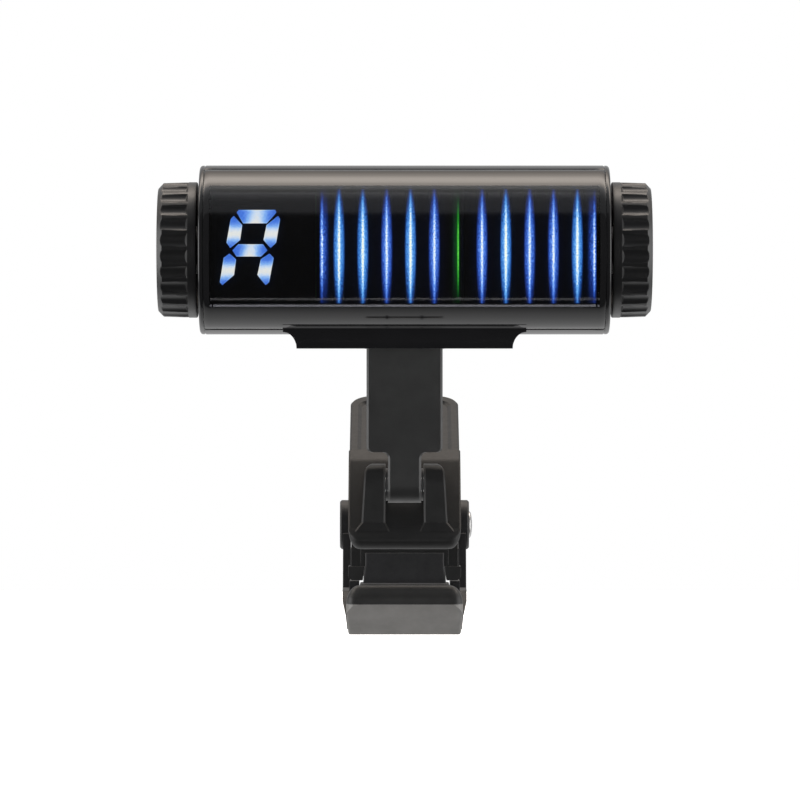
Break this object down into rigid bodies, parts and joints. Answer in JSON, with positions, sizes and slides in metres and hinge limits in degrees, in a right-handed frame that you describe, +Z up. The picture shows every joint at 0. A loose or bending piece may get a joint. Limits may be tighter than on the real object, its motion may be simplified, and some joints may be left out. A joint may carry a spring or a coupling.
{
  "type": "clip-on tuner",
  "caption": "Cylindrical clip-on tuner with a strobe display, turning end knobs, a tilting arm and a sprung clip for a headstock.",
  "frame": {"origin": "front of the clip's mouth, midway across, in the plane where the two pads meet", "axes": "+X along the barrel with the note letter at the -X end, +Z up from the clip to the barrel, -Y out of the clip's mouth towards the player"},
  "size_m": [0.0698, 0.046, 0.0666],
  "materials": {
    "smoked_cover": "glossy smoked",
    "barrel_black": "glossy",
    "knob_black": "satin",
    "arm_black": "satin",
    "lever_black": "satin",
    "plate_black": "fine textured",
    "jaw_grey": "satin",
    "pad_rubber": "matte",
    "steel": "polished",
    "spring_steel": "drawn wire",
    "washer_nylon": "satin",
    "board_green": "solder mask",
    "lamp_white": "moulded",
    "light_guide_clear": "clear",
    "segment_milky": "milky",
    "inner_black": "matte",
    "cell_jacket": "printed foil, plain",
    "contact_nickel": "nickel plate",
    "sensor_brass": "bare"
  },
  "bodies": {
    "clip_base": {"lower_lever": "plate_black", "lower_jaw": "jaw_grey", "lower_pad": "pad_rubber", "pivot_pin": "steel", "clip_spring": "spring_steel"},
    "clip_lever": {"upper_lever": "lever_black", "upper_pad": "pad_rubber", "arm_pin": "steel", "arm_washers": "washer_nylon"},
    "arm_link": {"arm": "arm_black", "head_washers": "washer_nylon"},
    "head": {"rear_shell": "barrel_black", "front_cover": "smoked_cover", "left_end_cap": "barrel_black", "right_end_cap": "barrel_black", "end_cap_screws": "steel", "left_switch": "inner_black", "right_switch": "inner_black", "main_board": "board_green", "strobe_leds": "lamp_white", "strobe_light_guide": "light_guide_clear", "digit_display": "inner_black", "digit_segments": "segment_milky", "display_mask": "inner_black", "battery_tray": "inner_black", "battery": "cell_jacket", "positive_contact": "contact_nickel", "negative_contact": "contact_nickel", "vibration_sensor": "sensor_brass", "head_pin": "steel", "left_return_spring": "spring_steel", "right_return_spring": "spring_steel"},
    "left_dial": {"left_knob": "knob_black", "left_knob_shaft": "inner_black"},
    "right_dial": {"right_knob": "knob_black", "right_knob_shaft": "inner_black"},
    "door": {"battery_door": "barrel_black"}
  },
  "joints": [
    {"name": "jaw_open", "type": "hinge", "parent": "clip_base", "child": "clip_lever", "pos_m": [0, 0.02, 0.008], "axis": [-1, 0, 0], "range_deg": [0, 42], "stiffness_Nm_per_rad": 0.15, "springref_deg": -45.84, "deforming": ["clip_spring"]},
    {"name": "arm_tilt", "type": "hinge", "parent": "clip_lever", "child": "arm_link", "pos_m": [0, 0.0054, 0.014], "axis": [1, 0, 0], "range_deg": [-27, 90]},
    {"name": "head_tilt", "type": "hinge", "parent": "arm_link", "child": "head", "pos_m": [0, 0.0054, 0.0352], "axis": [1, 0, 0], "range_deg": [-30, 30]},
    {"name": "left_knob_turn", "type": "hinge", "parent": "head", "child": "left_dial", "pos_m": [-0.032, 0.0054, 0.0473], "axis": [1, 0, 0], "range_deg": [-20, 20], "stiffness_Nm_per_rad": 0.004, "deforming": ["left_return_spring"]},
    {"name": "right_knob_turn", "type": "hinge", "parent": "head", "child": "right_dial", "pos_m": [0.032, 0.0054, 0.0473], "axis": [1, 0, 0], "range_deg": [-20, 20], "stiffness_Nm_per_rad": 0.004, "deforming": ["right_return_spring"]},
    {"name": "battery_door_off", "type": "slide", "parent": "head", "child": "door", "axis": [0, 1, 0], "range_m": [0, 0.012]}
  ]
}
